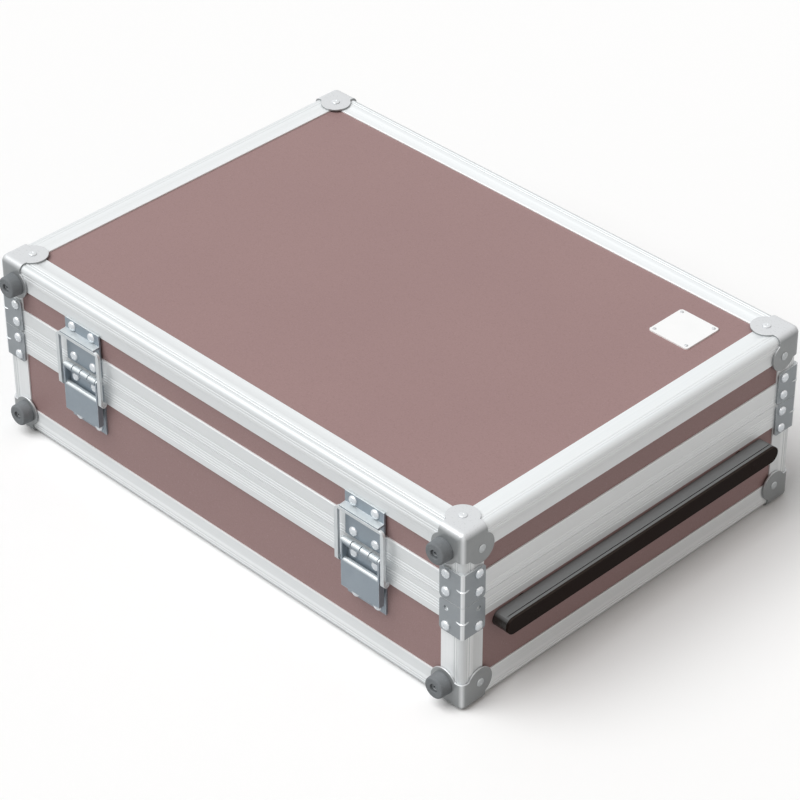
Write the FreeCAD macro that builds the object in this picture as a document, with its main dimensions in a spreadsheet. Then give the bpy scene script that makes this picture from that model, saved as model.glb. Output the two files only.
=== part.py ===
import FreeCAD, Part
import math
import os
import Sketcher

# Flat case for drawing materials: panels held in aluminium edge sections, a lid with a
# tongue that closes into a grooved rim, two draw latches, two stop hinges and a pull-out
# handle. Front (latches) is -Y, handle side is +X, the case stands on z = 0. Millimetres.

DIMENSIONS = {
    "case_width": 480.0,
    "case_depth": 346.0,
    "case_height": 150.0,
    "lid_height": 59.0,
    "parting_gap": 0.3,
    "leg": 20.5,
    "leg_wall": 1.4,
    "edge_round": 4.0,
    "inner_leg": 16.0,
    "inner_wall": 1.2,
    "panel": 7.0,
    "channel_play": 0.2,
    "rim_band": 19.6,
    "groove_deep": 8.4,
    "tongue_near": 3.4,
    "tongue_thick": 3.2,
    "tongue_drop": 6.0,
    "lining": 5.0,
    "lining_gap": 0.3,
    "cap_sheet": 1.5,
    "cap_inset": 16.5,
    "cap_disc": 12.0,
    "cap_wing": 22.0,
    "cap_fold": 6.5,
    "cap_heel": 12.0,
    "brace_sheet": 1.5,
    "brace_high": 27.7,
    "brace_corner": 3.0,
    "brace_fold": 2.0,
    "brace_rivet_in": 14.2,
    "brace_rivet_near": 7.3,
    "brace_rivet_far": 22.5,
    "dart_out": 7.7,
    "dart_wide": 5.0,
    "dart_high": 1.0,
    "rivet_head": 3.8,
    "rivet_dome": 2.2,
    "rivet_shank": 2.0,
    "rivet_grip": 2.6,
    "cap_rivet_head": 3.2,
    "cap_rivet_dome": 1.1,
    "drill_play": 0.1,
    "foot_base": 9.0,
    "foot_front": 8.5,
    "foot_high": 9.5,
    "foot_round": 1.5,
    "foot_bore": 3.4,
    "foot_floor": 5.6,
    "foot_screw_head": 3.0,
    "foot_screw_high": 2.4,
    "latch_from_middle": 148.0,
    "latch_half": 19.0,
    "latch_sheet": 1.5,
    "latch_rivet_half": 10.75,
    "strike_lap": 2.0,
    "strike_rivet_top": 23.4,
    "strike_rivet_low": 50.2,
    "hood_top": 27.8,
    "hood_edge": 28.3,
    "hood_lip": 1.2,
    "hood_out": 7.4,
    "pivot_out": 4.4,
    "barrel": 2.7,
    "barrel_clear": 0.7,
    "pivot_pin": 1.5,
    "pin_play": 0.05,
    "knuckle_gap": 0.7,
    "plate_foot": 108.0,
    "plate_rivet_top": 68.5,
    "plate_rivet_low": 104.2,
    "cheek_in": 17.4,
    "cheek_out": 18.8,
    "lever_eye": 2.4,
    "lever_joint_drop": 17.5,
    "lever_joint_out": 4.2,
    "lever_sheet": 1.4,
    "lever_foot": 98.6,
    "bail_pin": 1.3,
    "bail_half": 24.2,
    "bail_bar": 3.4,
    "bail_top_bar": 2.6,
    "bail_near": 5.0,
    "bail_round": 5.0,
    "bail_gap": 0.3,
    "hinge_gap": 0.4,
    "stop_reach": 8.5,
    "stop_root": 3.3,
    "stop_sheet": 1.4,
    "badge_side": 36.5,
    "badge_round": 2.5,
    "badge_sheet": 1.2,
    "badge_x": 182.4,
    "badge_y": 113.5,
    "badge_rivet_in": 3.2,
    "badge_rivet": 1.3,
    "badge_rivet_dome": 0.8,
    "handle_long": 285.0,
    "handle_high": 13.3,
    "handle_out": 13.4,
    "handle_below_top": 88.6,
    "handle_gap": 0.3,
    "handle_cover": 2.2,
    "handle_groove": 0.7,
    "handle_post_in": 28.2,
    "handle_post": 4.0,
    "handle_head": 5.2,
    "handle_head_long": 4.0,
    "handle_travel": 25.0,
    "guide_outer": 7.0,
    "guide_bore": 5.6,
    "guide_flange": 11.0,
    "guide_flange_thick": 2.0,
    "handle_screw": 2.2,
    "stop_angle": 106.0,
}

doc = FreeCAD.newDocument("art_supply_box")
sheet = doc.addObject("Spreadsheet::Sheet", "dims")
for row, (name, value) in enumerate(DIMENSIONS.items(), start=1):
    sheet.set(f"A{row}", name)
    sheet.set(f"B{row}", str(value))
    sheet.setAlias(f"B{row}", name)
doc.recompute()


class Size:
    """A length together with the expression that ties it to the sheet."""

    def __init__(self, value, text):
        self.value = value
        self.text = text

    def __add__(self, other):
        other = as_size(other)
        return Size(self.value + other.value, f"({self.text} + {other.text})")

    def __sub__(self, other):
        other = as_size(other)
        return Size(self.value - other.value, f"({self.text} - {other.text})")

    def __mul__(self, factor):
        return Size(self.value * factor, f"({self.text} * {factor!r})")

    def __truediv__(self, factor):
        return Size(self.value / factor, f"({self.text} / {factor!r})")

    def __neg__(self):
        return Size(-self.value, f"(0 - {self.text})")

    __rmul__ = __mul__


def as_size(number):
    return number if isinstance(number, Size) else Size(float(number), repr(float(number)))


class Sizes:
    """Every aliased cell of the sheet as an attribute."""


d = Sizes()
for name in DIMENSIONS:
    setattr(d, name, Size(sheet.get(name), "dims." + name))


def bind(item, prop, size):
    item.setExpression(prop, as_size(size).text)


def place(item, x, y, z, turn=None, prop="Placement"):
    setattr(item, prop, FreeCAD.Placement(FreeCAD.Vector(), turn or FreeCAD.Rotation()))
    for axis, size in zip("xyz", (x, y, z)):
        bind(item, f"{prop}.Base.{axis}", size)


def draw(sketch, loops):
    """Closed paths. A point is (u, v), or (u, v, centre_u, centre_v, radius) before an arc."""
    for loop in loops:
        runs = []
        for here, after in zip(loop, loop[1:] + loop[:1]):
            a = FreeCAD.Vector(here[0].value, here[1].value, 0)
            b = FreeCAD.Vector(after[0].value, after[1].value, 0)
            if len(here) == 2:
                run = sketch.addGeometry(Part.LineSegment(a, b), False)
                runs.append((run, 1, 2))
                continue
            middle = FreeCAD.Vector(here[2].value, here[3].value, 0)
            rise, fall = a - middle, b - middle
            first, last = math.atan2(rise.y, rise.x), math.atan2(fall.y, fall.x)
            forward = rise.x * fall.y - rise.y * fall.x > 0
            if not forward:
                first, last = last, first
            if last < first:
                last += 2 * math.pi
            ring = Part.Circle(middle, FreeCAD.Vector(0, 0, 1), here[4].value)
            run = sketch.addGeometry(Part.ArcOfCircle(ring, first, last), False)
            runs.append((run, 1, 2) if forward else (run, 2, 1))
        for point, run, following in zip(loop, runs, runs[1:] + runs[:1]):
            link = Sketcher.Constraint("Coincident", run[0], run[2], following[0], following[1])
            sketch.addConstraint(link)
            for kind, size in (("DistanceX", point[0]), ("DistanceY", point[1])):
                tie(sketch, Sketcher.Constraint(kind, run[0], run[1], size.value), size)
            if len(point) > 2:
                tie(sketch, Sketcher.Constraint("Radius", run[0], point[4].value), point[4])


def tie(sketch, constraint, size):
    index = sketch.addConstraint(constraint)
    sketch.renameConstraint(index, f"size_{index}")
    bind(sketch, f"Constraints.size_{index}", size)


def sketch_in(body, plane, loops, offset=0):
    sketch = body.newObject("Sketcher::SketchObject", body.Name + "_outline")
    support = [item for item in body.Origin.OriginFeatures if item.Role == plane][0]
    sketch.AttachmentSupport = [(support, "")]
    sketch.MapMode = "FlatFace"
    bind(sketch, "AttachmentOffset.Base.z", offset)
    draw(sketch, loops)
    return sketch


def prism(name, plane, loops, low, high):
    """A padded outline between two levels of the axis square to the plane."""
    body = doc.addObject("PartDesign::Body", name)
    offset = -high if plane == "XZ_Plane" else low
    pad = body.newObject("PartDesign::Pad", name + "_pad")
    pad.Profile = sketch_in(body, plane, loops, offset)
    bind(pad, "Length", high - low)
    return body


def pocket(body, plane, loops):
    cut_out = body.newObject("PartDesign::Pocket", body.Name + "_pocket")
    cut_out.Profile = sketch_in(body, plane, loops)
    cut_out.Type = "ThroughAll"
    cut_out.Midplane = True
    return cut_out


def turned(name, outline):
    """A half outline of (radius, height) points turned about the vertical axis."""
    body = doc.addObject("PartDesign::Body", name)
    spin = body.newObject("PartDesign::Revolution", name + "_turn")
    spin.Profile = sketch_in(body, "XZ_Plane", [outline])
    spin.ReferenceAxis = (spin.Profile[0], ["V_Axis"])
    spin.Angle = 360
    return body


def block(name, x, y, z):
    box = doc.addObject("Part::Box", name)
    for prop, (low, high) in zip(("Length", "Width", "Height"), (x, y, z)):
        bind(box, prop, high - low)
    place(box, x[0], y[0], z[0])
    return box


ALONG = {
    "X": FreeCAD.Rotation(FreeCAD.Vector(0, 1, 0), 90),
    "Y": FreeCAD.Rotation(FreeCAD.Vector(1, 0, 0), -90),
    "Z": FreeCAD.Rotation(),
}


def rod(name, axis, centre, span, radius):
    """A cylinder along one axis; centre gives the two other coordinates in order."""
    cylinder = doc.addObject("Part::Cylinder", name)
    bind(cylinder, "Radius", radius)
    bind(cylinder, "Height", span[1] - span[0])
    at = list(centre)
    at.insert("XYZ".index(axis), span[0])
    place(cylinder, *at, ALONG[axis])
    return cylinder


def fused(name, items):
    joined = doc.addObject("Part::MultiFuse", name)
    joined.Shapes = items
    return joined


def cut(name, base, tool):
    result = doc.addObject("Part::Cut", name)
    result.Base = base
    result.Tool = tool
    return result


def together(name, items):
    group = doc.addObject("Part::Compound", name)
    group.Links = items
    return group


def mirrored(name, source, normal, level=0):
    copy = doc.addObject("Part::Mirroring", name)
    copy.Source = source
    copy.Normal = FreeCAD.Vector(*normal)
    if normal[2]:
        bind(copy, "Base.z", level)
    return copy


def four_corners(name, master):
    """The master from the front right corner and its three mirror images."""
    front_left = mirrored(name + "_front_left", master, (1, 0, 0))
    back_right = mirrored(name + "_back_right", master, (0, 1, 0))
    back_left = mirrored(name + "_back_left", front_left, (0, 1, 0))
    return together(name + "_set", [master, front_left, back_right, back_left])


NODES = {}


def node(name, item):
    """Names a finished piece; its file and its label carry the same name."""
    item.Label = name
    NODES[name] = item


# Levels shared by every piece.
half_x = d.case_width / 2
half_y = d.case_depth / 2
floor = d.cap_sheet
top = floor + d.case_height
parting = top - d.lid_height
lid_seat = parting + d.parting_gap / 2
base_seat = parting - d.parting_gap / 2
tube = d.leg_wall + d.panel + d.channel_play + d.inner_wall
channel = tube - d.inner_wall
skin = d.leg_wall + d.channel_play / 2
inside_x = half_x - tube - d.channel_play
inside_y = half_y - tube - d.channel_play


def edge_section(u, v, into_u, into_v):
    """Double angle: a square tube, two outer legs and two inner legs that hold two panels."""
    zero = as_size(0)
    r = d.edge_round

    def at(a, b, *arc):
        point = (u + into_u * a, v + into_v * b)
        return point + ((u + into_u * arc[0], v + into_v * arc[1], arc[2]) if arc else ())

    shell = [
        at(r, zero), at(d.leg, zero), at(d.leg, d.leg_wall), at(tube, d.leg_wall),
        at(tube, channel), at(d.inner_leg, channel), at(d.inner_leg, tube), at(tube, tube),
        at(tube, d.inner_leg), at(channel, d.inner_leg), at(channel, tube),
        at(d.leg_wall, tube), at(d.leg_wall, d.leg), at(zero, d.leg), at(zero, r, r, r, r),
    ]
    hollow = [
        at(d.leg_wall, d.leg_wall), at(channel, d.leg_wall),
        at(channel, channel), at(d.leg_wall, channel),
    ]
    return [shell, hollow]


def rim_section(side, inward, lid):
    """Half of the closing band: the base has a groove, the lid a tongue; both hold a panel."""
    web = d.groove_deep + d.leg_wall
    if lid:
        tongue_far = d.tongue_near + d.tongue_thick
        seat = lid_seat - parting
        path = [
            (as_size(0), seat), (d.leg_wall, seat), (d.leg_wall, d.groove_deep),
            (d.tongue_near, d.groove_deep), (d.tongue_near, -d.tongue_drop),
            (tongue_far, -d.tongue_drop), (tongue_far, d.groove_deep),
            (channel, d.groove_deep), (channel, seat), (tube, seat), (tube, d.inner_leg),
            (channel, d.inner_leg), (channel, web), (d.leg_wall, web),
            (d.leg_wall, d.rim_band), (as_size(0), d.rim_band),
        ]
    else:
        seat = base_seat - parting
        path = [
            (as_size(0), -d.rim_band), (d.leg_wall, -d.rim_band), (d.leg_wall, -web),
            (channel, -web), (channel, -d.inner_leg), (tube, -d.inner_leg), (tube, seat),
            (channel, seat), (channel, -d.groove_deep), (d.leg_wall, -d.groove_deep),
            (d.leg_wall, seat), (as_size(0), seat),
        ]
    return [[(side + inward * a, parting + b) for a, b in path]]


def mitre(along, sign_x, sign_y):
    """Plan of the waste beyond a 45 degree end that keeps the rounded case corner."""
    r = d.edge_round
    near = r * (1 - math.sqrt(0.5))
    far = d.leg * 1.3
    out = d.leg * -0.3
    path = [(r, as_size(0)), (near, near), (far, far), (out, far), (out, out), (r, out)]
    if along == "Y":
        path = [(b, a) for a, b in path]
    points = [(sign_x * (half_x - a), sign_y * (half_y - b)) for a, b in path]
    points[0] += (sign_x * (half_x - r), sign_y * (half_y - r), r)
    return points


def frame_runs(name, section):
    """Four mitred lengths round the case, from a section given by side and inward direction."""
    runs = {}
    for side, sign in (("front", -1), ("back", 1)):
        run = prism(f"{name}_{side}", "YZ_Plane", section(sign * half_y, -sign), -half_x, half_x)
        pocket(run, "XY_Plane", [mitre("X", -1, sign), mitre("X", 1, sign)])
        runs[side] = run
    for side, sign in (("left", -1), ("right", 1)):
        run = prism(f"{name}_{side}", "XZ_Plane", section(sign * half_x, -sign), -half_y, half_y)
        pocket(run, "XY_Plane", [mitre("Y", sign, -1), mitre("Y", sign, 1)])
        runs[side] = run
    return runs


def rectangle(u, v):
    return [(u[0], v[0]), (u[1], v[0]), (u[1], v[1]), (u[0], v[1])]


def rounded(u, v, r):
    """A rectangle with quarter rounds of radius r."""
    low_u, high_u, low_v, high_v = u[0] + r, u[1] - r, v[0] + r, v[1] - r
    return [
        (low_u, v[0]), (high_u, v[0], high_u, low_v, r), (u[1], low_v),
        (u[1], high_v, high_u, high_v, r), (high_u, v[1]),
        (low_u, v[1], low_u, high_v, r), (u[0], high_v), (u[0], low_v, low_u, low_v, r),
    ]


def side_panels(name, z):
    """The four upright panels of one half of the case."""
    panels = {}
    for side, sign in (("front", -1), ("back", 1)):
        faces = sorted((sign * (half_y - skin), sign * (half_y - skin - d.panel)), key=value_of)
        panels[side] = block(f"{name}_{side}", (-inside_x, inside_x), faces, z)
    for side, sign in (("left", -1), ("right", 1)):
        faces = sorted((sign * (half_x - skin), sign * (half_x - skin - d.panel)), key=value_of)
        panels[side] = block(f"{name}_{side}", faces, (-inside_y, inside_y), z)
    return panels


def value_of(size):
    return size.value


# Rivet places: (x, y, z, face, kind) with the point on the outer face of the riveted sheet.
FACE_TURNS = {
    "front": FreeCAD.Rotation(FreeCAD.Vector(1, 0, 0), 90),
    "back": FreeCAD.Rotation(FreeCAD.Vector(1, 0, 0), -90),
    "right": FreeCAD.Rotation(FreeCAD.Vector(0, 1, 0), 90),
    "left": FreeCAD.Rotation(FreeCAD.Vector(0, 1, 0), -90),
    "top": FreeCAD.Rotation(),
    "bottom": FreeCAD.Rotation(FreeCAD.Vector(1, 0, 0), 180),
}
SIDES = (("front", -1), ("back", 1))
ENDS = (("left", -1), ("right", 1))


def brace_places(lid):
    """Two rows of rivets on each wing; the front right base brace has its upper row open."""
    places = []
    up = 1 if lid else -1
    for end, sign_x in ENDS:
        for side, sign_y in SIDES:
            for row, rise in (("near", d.brace_rivet_near), ("far", d.brace_rivet_far)):
                is_open = not lid and row == "near" and (end, side) == ("right", "front")
                kind = "open" if is_open else "rivet"
                z = parting + up * rise
                x = sign_x * (half_x - d.brace_rivet_in)
                places.append((x, sign_y * (half_y + d.brace_sheet), z, side, kind))
                y = sign_y * (half_y - d.brace_rivet_in)
                places.append((sign_x * (half_x + d.brace_sheet), y, z, end, kind))
    return places


def cap_places(lid):
    """One fixing in the middle of each disc of the corner caps; the front discs carry feet."""
    places = []
    z = top - d.cap_inset if lid else floor + d.cap_inset
    flat = top + d.cap_sheet if lid else as_size(0)
    for end, sign_x in ENDS:
        for side, sign_y in SIDES:
            x = sign_x * (half_x - d.cap_inset)
            y = sign_y * (half_y - d.cap_inset)
            kind = "foot" if side == "front" else "cap"
            places.append((x, sign_y * (half_y + d.cap_sheet), z, side, kind))
            places.append((sign_x * (half_x + d.cap_sheet), y, z, end, "cap"))
            places.append((x, y, flat, "top" if lid else "bottom", "cap" if lid else "flush"))
    return places


def plate_places(lid):
    """Four rivets through each latch plate, strike and hinge leaf."""
    places = []
    if lid:
        rows = ((d.strike_rivet_top, as_size(0)), (d.strike_rivet_low, as_size(0)))
    else:
        rows = ((d.plate_rivet_top, as_size(0)), (d.plate_rivet_low, d.leg_wall))
    for sign_x in (-1, 1):
        for across in (-1, 1):
            x = sign_x * d.latch_from_middle + across * d.latch_rivet_half
            for drop, step in rows:
                out = half_y + d.latch_sheet - step
                places.append((x, -out, top - drop, "front", "rivet"))
                places.append((x, out, top - drop, "back", "rivet"))
    return places


def badge_places():
    reach = d.badge_side / 2 - d.badge_rivet_in
    z = top - skin + d.badge_sheet
    spots = [(a, b) for a in (-1, 1) for b in (-1, 1)]
    return [(d.badge_x + a * reach, d.badge_y + b * reach, z, "top", "badge") for a, b in spots]


def dome(name, head, rise, shank, depth):
    cap = doc.addObject("Part::Ellipsoid", name + "_dome")
    bind(cap, "Radius1", rise)
    bind(cap, "Radius2", head)
    bind(cap, "Radius3", head)
    cap.Angle1 = 0
    return fused(name, [cap, rod(name + "_shank", "Z", (0, 0), (-depth, as_size(0)), shank)])


shank_deep = d.cap_sheet + d.rivet_grip
foot_screw_top = d.foot_floor + d.foot_screw_high
FIXINGS = {
    "rivet": dome("rivet", d.rivet_head, d.rivet_dome, d.rivet_shank, shank_deep),
    "cap": dome("cap_rivet", d.cap_rivet_head, d.cap_rivet_dome, d.rivet_shank, shank_deep),
    "badge": dome("badge_rivet", d.badge_rivet, d.badge_rivet_dome, d.badge_rivet * 0.6,
                  d.badge_sheet + d.rivet_grip),
    "flush": rod("flush_rivet", "Z", (0, 0), (-shank_deep, as_size(0)), d.rivet_shank),
    "foot": turned("foot_screw", [
        (as_size(0), -shank_deep), (d.rivet_shank, -shank_deep), (d.rivet_shank, d.foot_floor),
        (d.foot_screw_head, d.foot_floor), (d.foot_screw_head, foot_screw_top),
        (as_size(0), foot_screw_top),
    ]),
}
drill = rod("drill", "Z", (0, 0), (-shank_deep - d.drill_play, d.rivet_dome),
            d.rivet_shank + d.drill_play)
badge_drill = rod("badge_drill", "Z", (0, 0),
                  (-d.badge_sheet - d.rivet_grip - d.drill_play, d.badge_rivet_dome),
                  d.badge_rivet * 0.6 + d.drill_play)


def copies(name, source_of, places):
    """Linked copies of the fixings, each turned to its face."""
    links = []
    for index, (x, y, z, face, kind) in enumerate(places):
        link = doc.addObject("App::Link", f"{name}_{index}")
        link.LinkedObject = source_of(kind)
        link.LinkTransform = True
        place(link, x, y, z, FACE_TURNS[face], "LinkPlacement")
        links.append(link)
    return together(name, links)


PLACES = {
    "lid": brace_places(True) + cap_places(True) + plate_places(True) + badge_places(),
    "base": brace_places(False) + cap_places(False) + plate_places(False),
}
HOLES = {}
for half, places in PLACES.items():
    HOLES[half] = copies(half + "_holes",
                         lambda kind: badge_drill if kind == "badge" else drill, places)
    fixed = [spot for spot in places if spot[4] != "open"]
    node(half + "_fasteners", copies(half + "_fixings", FIXINGS.get, fixed))


def drilled(name, half, raw):
    node(name, cut(name + "_drilled", raw, HOLES[half]))


# Edge sections, posts, rims and panels of both halves.
for half in ("base", "lid"):
    is_lid = half == "lid"
    level, into = (top, -1) if is_lid else (floor, 1)
    edges = frame_runs(half + "_edge", lambda side, inward: edge_section(side, level, inward, into))
    rims = frame_runs(half + "_rim", lambda side, inward: rim_section(side, inward, is_lid))
    band = parting + d.rim_band if is_lid else parting - d.rim_band
    post_z = (band, top - d.leg) if is_lid else (floor + d.leg, band)
    post = prism(half + "_post", "XY_Plane", edge_section(half_x, -half_y, -1, 1), *post_z)
    drilled(half + "_corner_posts", half, four_corners(half + "_post", post))
    web = d.groove_deep + d.leg_wall + d.channel_play
    panel_z = (floor + tube + d.channel_play, parting - web)
    if is_lid:
        panel_z = (parting + web, top - tube - d.channel_play)
    panels = side_panels(half + "_panel", panel_z)
    if not is_lid:
        handle_y = d.handle_long / 2 - d.handle_post_in
        handle_z = top - d.handle_below_top
        wall_x = (half_x - skin - d.panel - 1, half_x - skin + 1)
        bores = [
            rod(f"guide_hole_{n}", "X", (sign * handle_y, handle_z), wall_x,
                d.guide_outer + d.drill_play)
            for n, sign in enumerate((-1, 1))
        ]
        panels["right"] = cut("base_panel_bored", panels["right"], together("bores", bores))
    for side in ("front", "back", "left", "right"):
        drilled(f"{half}_edge_{side}", half, edges[side])
        drilled(f"{half}_rim_{side}", half, rims[side])
        drilled(f"{half}_panel_{side}", half, panels[side])
    sheet_z = (floor + skin, floor + skin + d.panel)
    lining_z = (sheet_z[1], sheet_z[1] + d.lining)
    if is_lid:
        sheet_z = (top - skin - d.panel, top - skin)
        lining_z = (sheet_z[0] - d.lining, sheet_z[0])
    flat = block(half + "_flat", (-inside_x, inside_x), (-inside_y, inside_y), sheet_z)
    drilled("lid_panel_top" if is_lid else "base_panel_bottom", half, flat)
    pad_x = half_x - d.inner_leg - d.lining_gap
    pad_y = half_y - d.inner_leg - d.lining_gap
    node(half + "_lining", prism(half + "_lining", "XY_Plane",
                                 [rectangle((-pad_x, pad_x), (-pad_y, pad_y))], *lining_z))

# Corner caps: sheet pressed over the rounded corner, trimmed to a disc and a fold per face.
r = d.edge_round
whole_x, whole_y, whole_z = (-half_x, half_x), (-half_y, half_y), (floor, top)
core_plan = prism("core_plan", "XY_Plane", [rounded(whole_x, whole_y, r)], floor, top)
core_end = prism("core_end", "YZ_Plane", [rounded(whole_y, whole_z, r)], -half_x, half_x)
core_side = prism("core_side", "XZ_Plane", [rounded(whole_x, whole_z, r)], -half_y, half_y)
core = doc.addObject("Part::MultiCommon", "core")
core.Shapes = [core_plan, core_end, core_side]
cap_far = d.cap_inset + d.cap_disc + d.cap_sheet
cap_x = (half_x - cap_far, half_x + d.cap_sheet)
cap_y = (-half_y - d.cap_sheet, -half_y + cap_far)
cap_z = (top - cap_far, top + d.cap_sheet)
cap_block = prism("cap_block", "XY_Plane", [rectangle(cap_x, cap_y)], *cap_z)
doc.recompute()


def edges_at(body, test):
    """Names of the edges whose middle points pass a test."""
    found = []
    for index, edge in enumerate(body.Shape.Edges, start=1):
        middle = edge.valueAt((edge.FirstParameter + edge.LastParameter) / 2)
        if test(middle, edge.Length):
            found.append(f"Edge{index}")
    return found


def near(a, b):
    return abs(a - b.value) < 1e-4


def fold_test(point, length):
    hits = [near(point.x, cap_x[1]), near(point.y, cap_y[0]), near(point.z, cap_z[1])]
    return sum(hits) == 2


def round_edges(body, test, radius):
    raw = body.Tip
    names = edges_at(body, test)
    soft = body.newObject("PartDesign::Fillet", body.Name + "_round")
    soft.Base = (raw, names)
    bind(soft, "Radius", radius)
    return soft


round_edges(cap_block, fold_test, r + d.cap_sheet)
cap_shell = cut("cap_shell", cap_block, core)
disc_x = half_x - d.cap_inset
disc_y = -half_y + d.cap_inset
disc_z = top - d.cap_inset
deep = d.edge_round
fold_x = (half_x - d.cap_fold, cap_x[1])
fold_y = (cap_y[0], -half_y + d.cap_fold)
fold_z = (top - d.cap_fold, cap_z[1])
wing_x = (half_x - d.cap_wing, cap_x[1])
wing_y = (cap_y[0], -half_y + d.cap_wing)
wing_z = (top - d.cap_wing, cap_z[1])
heel_x = (half_x - d.cap_heel, cap_x[1])
heel_y = (cap_y[0], -half_y + d.cap_heel)
heel_z = (top - d.cap_heel, cap_z[1])
cap_print = fused("cap_print", [
    rod("cap_disc_top", "Z", (disc_x, disc_y), (top - deep, cap_z[1]), d.cap_disc),
    rod("cap_disc_front", "Y", (disc_x, disc_z), (cap_y[0], -half_y + deep), d.cap_disc),
    rod("cap_disc_side", "X", (disc_y, disc_z), (half_x - deep, cap_x[1]), d.cap_disc),
    block("cap_wing_x", wing_x, fold_y, fold_z),
    block("cap_wing_y", fold_x, wing_y, fold_z),
    block("cap_wing_z", fold_x, fold_y, wing_z),
    block("cap_heel", heel_x, heel_y, heel_z),
])
cap = doc.addObject("Part::Common", "cap")
cap.Base = cap_shell
cap.Tool = cap_print
drilled("lid_corner_caps", "lid", four_corners("lid_cap", cap))
low_cap = mirrored("low_cap", cap, (0, 0, 1), (floor + top) / 2)
drilled("base_corner_caps", "base", four_corners("base_cap", low_cap))

# Corner braces: bent plates over the rim corners with a pressed dart across the bend.
wing = d.leg
fold_at = d.brace_fold - d.brace_sheet


def brace_point(a, b, *arc):
    point = (half_x - a, b - half_y)
    return point + ((half_x - arc[0], arc[1] - half_y, arc[2]) if arc else ())


none = as_size(0)
brace_plan = [
    brace_point(wing, none), brace_point(r, none, r, r, r), brace_point(none, r),
    brace_point(none, wing), brace_point(-d.brace_sheet, wing),
    brace_point(-d.brace_sheet, fold_at, fold_at, fold_at, d.brace_fold),
    brace_point(fold_at, -d.brace_sheet), brace_point(wing, -d.brace_sheet),
]
brace_z = (lid_seat, parting + d.brace_high)
brace_body = prism("brace_body", "XY_Plane", [brace_plan], *brace_z)
doc.recompute()


def wing_corner(point, length):
    at_end = near(point.x, half_x - wing) or near(point.y, wing - half_y)
    return at_end and (near(point.z, brace_z[0]) or near(point.z, brace_z[1]))


round_edges(brace_body, wing_corner, d.brace_corner)
dart = doc.addObject("Part::Ellipsoid", "dart")
bind(dart, "Radius1", d.dart_high)
bind(dart, "Radius2", d.dart_out)
bind(dart, "Radius3", d.dart_wide)
place(dart, half_x - r, r - half_y, parting + d.brace_high / 2,
      FreeCAD.Rotation(FreeCAD.Vector(0, 0, 1), -45))
brace = fused("brace", [brace_body, cut("dart_skin", dart, core_plan)])
drilled("lid_corner_braces", "lid", four_corners("lid_brace", brace))
low_brace = mirrored("low_brace", brace, (0, 0, 1), parting)
drilled("base_corner_braces", "base", four_corners("base_brace", low_brace))

# Rubber feet on the latch side, each over a cap disc.
foot_rim = d.foot_front - d.foot_round
foot_hole = d.rivet_shank + d.drill_play
foot = turned("foot", [
    (foot_hole, none), (d.foot_base, none),
    (d.foot_front, d.foot_high - d.foot_round, foot_rim, d.foot_high - d.foot_round, d.foot_round),
    (foot_rim, d.foot_high), (d.foot_bore, d.foot_high), (d.foot_bore, d.foot_floor),
    (foot_hole, d.foot_floor),
])
for half, places in PLACES.items():
    spots = [spot for spot in places if spot[4] == "foot"]
    node(half + "_feet", copies(half + "_foot_set", lambda kind: foot, spots))

# Draw latches and hinges share their plate sections; out is the distance from the case face.
joggle = d.leg_wall
step_z = parting - d.rim_band - d.parting_gap
plate_top = parting - d.barrel - d.barrel_clear
strike_low = parting + d.barrel + d.barrel_clear


def profile(sign, path):
    """A path of (out, z) points on the front (-1) or back (+1) face."""
    return [(sign * (half_y + out), z) for out, z in path]


def low_plate(name, sign, x):
    """Plate of the base, stepped down from the rim on to the panel."""
    foot_z = top - d.plate_foot
    s = d.latch_sheet
    path = [
        (none, plate_top), (s, plate_top), (s, step_z), (s - joggle, step_z - joggle),
        (s - joggle, foot_z), (-joggle, foot_z), (-joggle, step_z - joggle), (none, step_z),
    ]
    return prism(name, "YZ_Plane", [profile(sign, path)], *x)


def knuckles(name, sign, x, count, gap, used, rise):
    """Rolled barrel pieces and their necks; rise is -1 from a base plate, +1 from a lid leaf."""
    pieces = []
    axle = sign * (half_y + d.pivot_out)
    pitch = (x[1] - x[0] + gap) / count
    neck_y = sorted((sign * half_y, axle), key=value_of)
    root = d.barrel + d.barrel_clear
    neck_z = sorted((parting + rise * (d.barrel * 0.4), parting + rise * (root + d.latch_sheet)),
                    key=value_of)
    for n in used:
        span = (x[0] + n * pitch, x[0] + (n + 1) * pitch - gap)
        pieces.append(rod(f"{name}_barrel_{n}", "X", (axle, parting), span, d.barrel))
        pieces.append(block(f"{name}_neck_{n}", span, neck_y, neck_z))
    return pieces


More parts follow.
